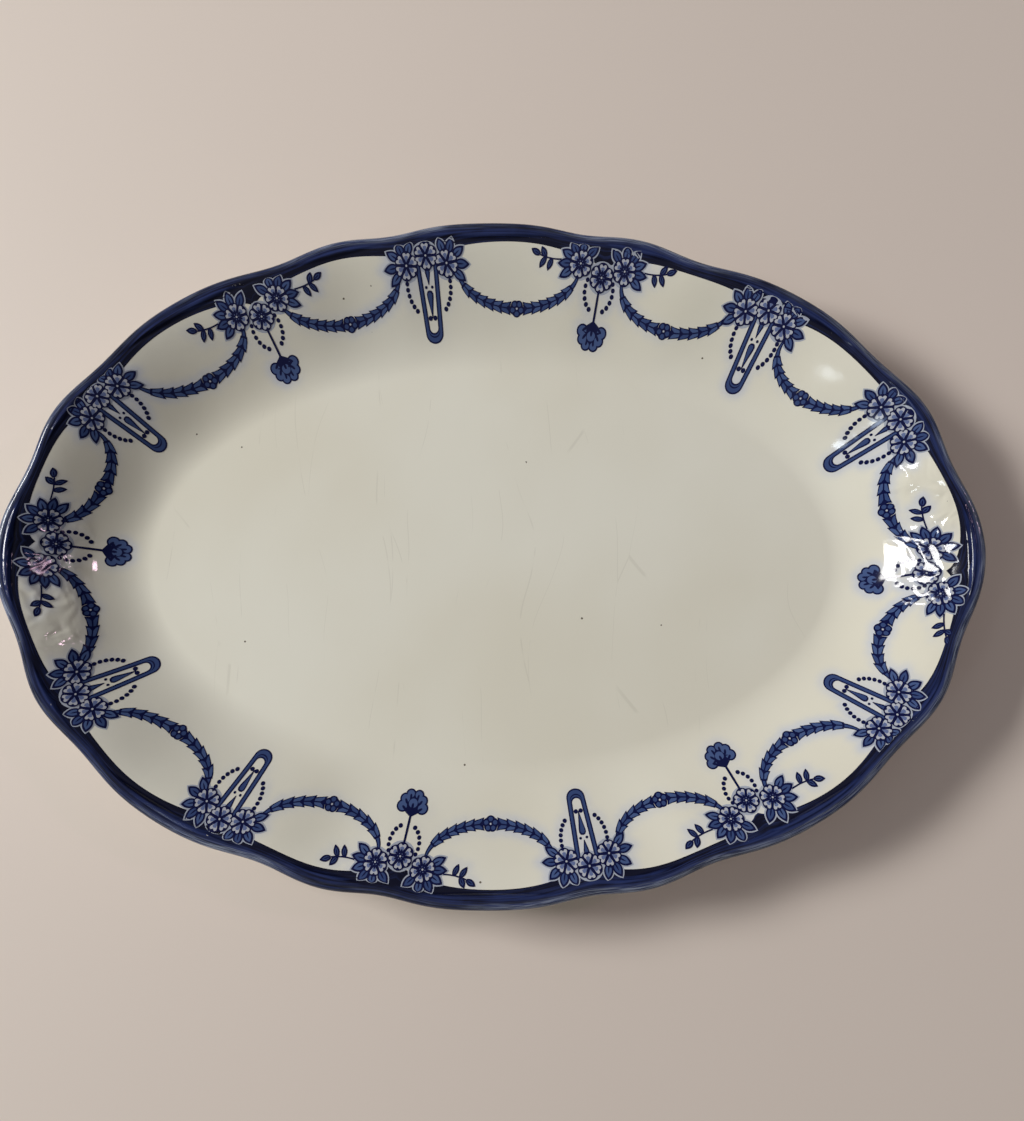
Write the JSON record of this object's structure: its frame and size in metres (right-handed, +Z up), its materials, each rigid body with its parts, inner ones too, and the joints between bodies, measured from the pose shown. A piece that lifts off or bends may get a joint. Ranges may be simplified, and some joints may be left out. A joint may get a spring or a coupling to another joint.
{
  "type": "serving platter",
  "caption": "Oval china serving platter with a scalloped lip, flared sides and a flat well, with a blue printed border of flower sprays, husk garlands and pendants.",
  "frame": {"origin": "centre of the foot's standing plane", "axes": "+X along the platter's length, +Y across it, +Z up out of the well"},
  "size_m": [0.3628, 0.254, 0.033],
  "materials": {
    "glaze": "glossy warm white glaze",
    "foot": "glazed, wiped bare where it stands",
    "band_blue": "dark cobalt under a glossy glaze",
    "print_blue": "cobalt print under a glossy glaze"
  },
  "bodies": {
    "root": {"platter_body": "glaze", "foot_ring": "foot", "border_band": "band_blue", "blossom_pendant_01": "print_blue", "flower_spray_01": "print_blue", "husk_garland_01": "print_blue", "flower_spray_02": "print_blue", "husk_garland_02": "print_blue", "loop_pendant_02": "print_blue", "flower_spray_03": "print_blue", "husk_garland_03": "print_blue", "loop_pendant_03": "print_blue", "blossom_pendant_04": "print_blue", "flower_spray_04": "print_blue", "husk_garland_04": "print_blue", "flower_spray_05": "print_blue", "husk_garland_05": "print_blue", "loop_pendant_05": "print_blue", "blossom_pendant_06": "print_blue", "flower_spray_06": "print_blue", "husk_garland_06": "print_blue", "flower_spray_07": "print_blue", "husk_garland_07": "print_blue", "loop_pendant_07": "print_blue", "blossom_pendant_08": "print_blue", "flower_spray_08": "print_blue", "husk_garland_08": "print_blue", "flower_spray_09": "print_blue", "husk_garland_09": "print_blue", "loop_pendant_09": "print_blue", "flower_spray_10": "print_blue", "husk_garland_10": "print_blue", "loop_pendant_10": "print_blue", "blossom_pendant_11": "print_blue", "flower_spray_11": "print_blue", "husk_garland_11": "print_blue", "flower_spray_12": "print_blue", "husk_garland_12": "print_blue", "loop_pendant_12": "print_blue", "blossom_pendant_13": "print_blue", "flower_spray_13": "print_blue", "husk_garland_13": "print_blue", "flower_spray_14": "print_blue", "husk_garland_14": "print_blue", "loop_pendant_14": "print_blue"}
  },
  "joints": []
}
